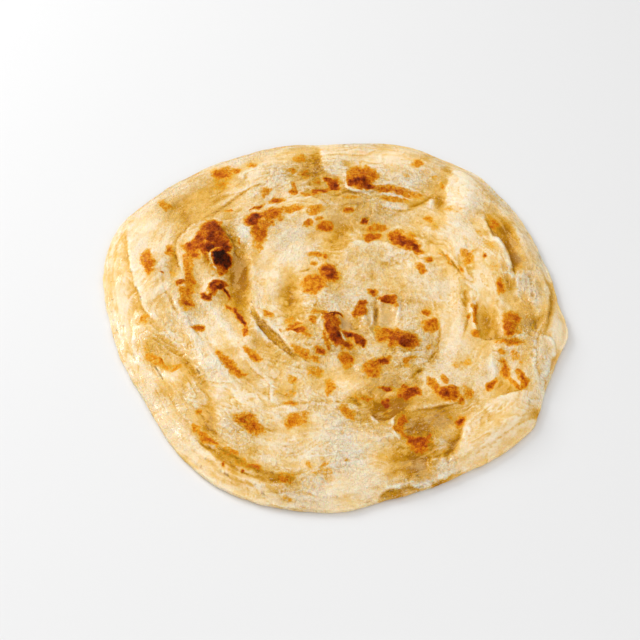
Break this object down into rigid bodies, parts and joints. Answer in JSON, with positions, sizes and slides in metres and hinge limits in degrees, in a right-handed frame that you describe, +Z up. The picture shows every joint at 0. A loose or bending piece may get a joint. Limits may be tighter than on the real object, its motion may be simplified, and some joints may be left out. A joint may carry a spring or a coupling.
{
  "type": "paratha flatbread",
  "caption": "Round flaky flatbread rolled from a coil of layered dough, with overlapping sheet edges, blisters, hollows and griddle-browned spots, lying flat.",
  "frame": {"origin": "on the flat underside, under the middle of the outline's bounding box", "axes": "+Z up through the thickness, +X to the right and +Y away from a person looking at the bread's front edge"},
  "size_m": [0.1884, 0.195, 0.0102],
  "materials": {
    "crust": "pale cream-golden baked dough, slightly oily, with toasted orange to dark brown spots"
  },
  "bodies": {
    "root": {"paratha": "crust"}
  },
  "joints": []
}
